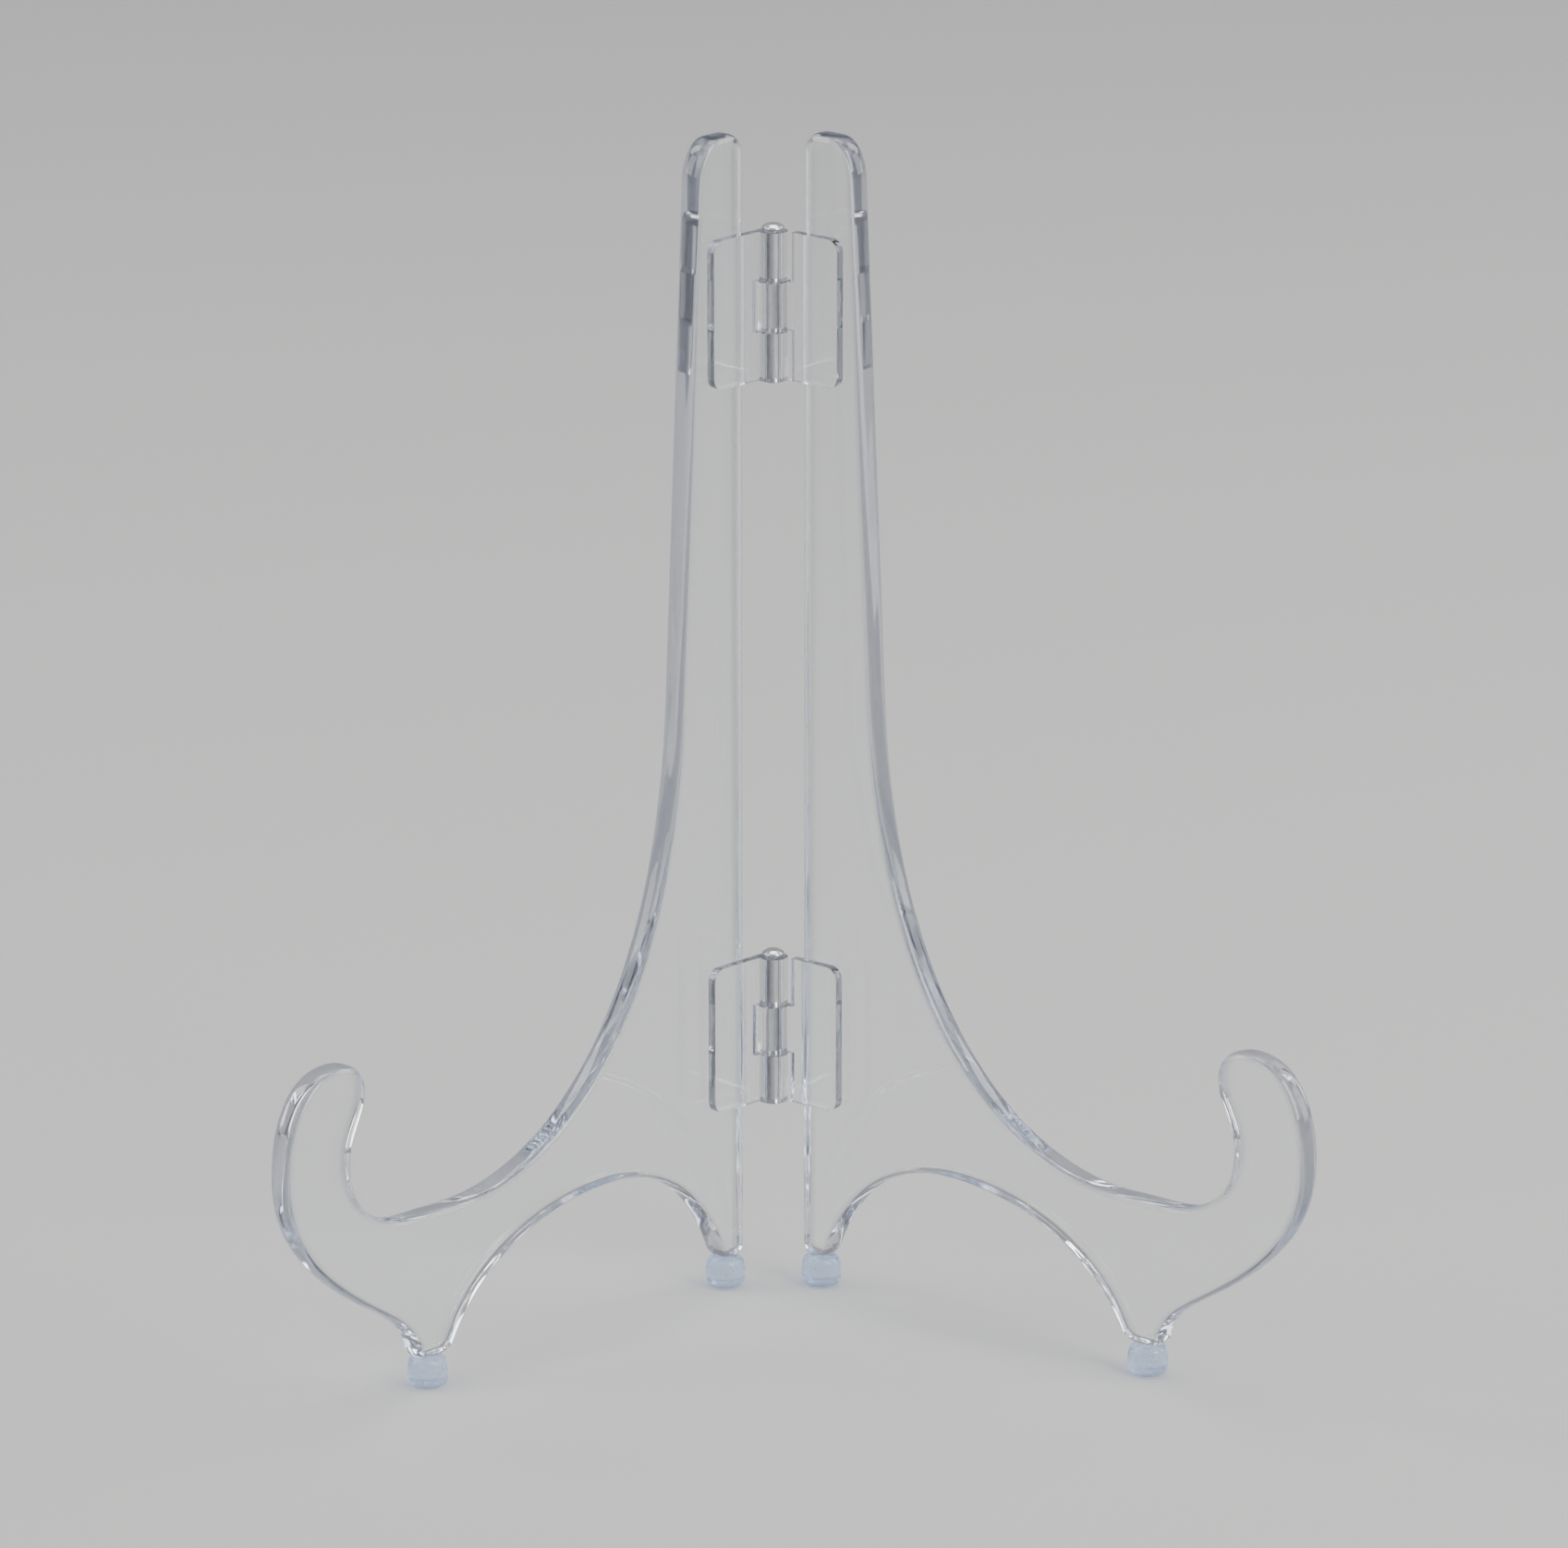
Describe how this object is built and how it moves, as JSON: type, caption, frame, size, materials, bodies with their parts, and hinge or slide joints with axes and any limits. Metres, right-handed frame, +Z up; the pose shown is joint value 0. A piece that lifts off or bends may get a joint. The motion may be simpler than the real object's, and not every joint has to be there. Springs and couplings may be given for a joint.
{
  "type": "folding plate display stand",
  "caption": "Folding clear acrylic stand: two hinged wings hold a plate upright, with hooks in front, arched legs on bumper feet and tall back-rests behind.",
  "frame": {"origin": "middle of the stand's footprint, on the surface it stands on, with the wings open as in use", "axes": "+Z up; -Y towards the viewer, where the hooks are; +X to the right as seen from the front"},
  "size_m": [0.1618, 0.0739, 0.19],
  "materials": {
    "clear_acrylic": "clear cast acrylic, polished faces and flame-polished edges",
    "steel": "drawn stainless pin",
    "clear_bumper": "soft clear bumper, satin"
  },
  "bodies": {
    "left_half": {"left_wing": "clear_acrylic", "front_left_foot": "clear_bumper", "rear_left_foot": "clear_bumper", "upper_hinge_left_leaf": "clear_acrylic", "lower_hinge_left_leaf": "clear_acrylic", "upper_hinge_pin": "steel", "lower_hinge_pin": "steel"},
    "right_half": {"right_wing": "clear_acrylic", "front_right_foot": "clear_bumper", "rear_right_foot": "clear_bumper", "upper_hinge_right_leaf": "clear_acrylic", "lower_hinge_right_leaf": "clear_acrylic"}
  },
  "joints": [
    {"name": "wing_fold", "type": "hinge", "parent": "left_half", "child": "right_half", "pos_m": [0, 0.03445, 0.1], "axis": [0, 0, 1], "range_deg": [-92, 88]}
  ]
}
